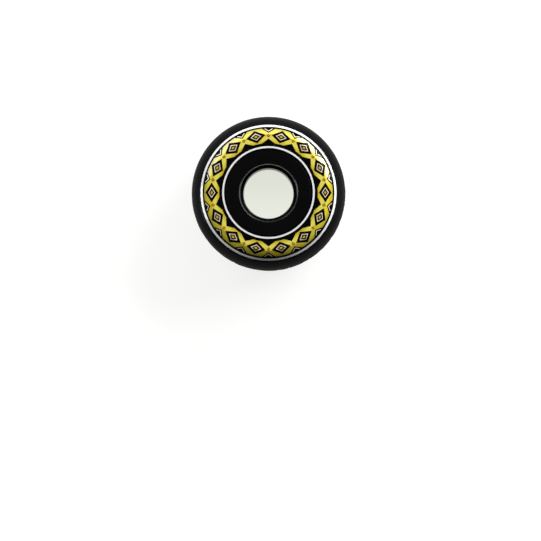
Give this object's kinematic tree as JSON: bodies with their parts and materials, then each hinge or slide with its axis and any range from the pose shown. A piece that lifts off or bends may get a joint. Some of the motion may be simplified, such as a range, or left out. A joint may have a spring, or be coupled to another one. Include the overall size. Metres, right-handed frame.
{
  "type": "inline skate wheel",
  "caption": "Black urethane inline skate wheel on a hard moulded core, with a bearing seat on each side and a printed yellow band with lozenges on one face.",
  "frame": {"origin": "the wheel's centre, on the axis, midway between the two side faces", "axes": "+Z along the wheel's axis, out of the printed face; the wheel lies on its plain side face; +Y is the picture's up direction on the printed face"},
  "size_m": [0.0606, 0.0606, 0.0241],
  "materials": {
    "core_plastic": "satin",
    "urethane": "gloss",
    "ink_white": "gloss",
    "ink_yellow": "gloss",
    "ink_cream": "gloss",
    "ink_gold": "gloss"
  },
  "bodies": {
    "root": {"hub": "core_plastic", "tyre": "urethane", "print_white": "ink_white", "print_yellow": "ink_yellow", "print_cream": "ink_cream", "print_gold": "ink_gold"}
  },
  "joints": []
}
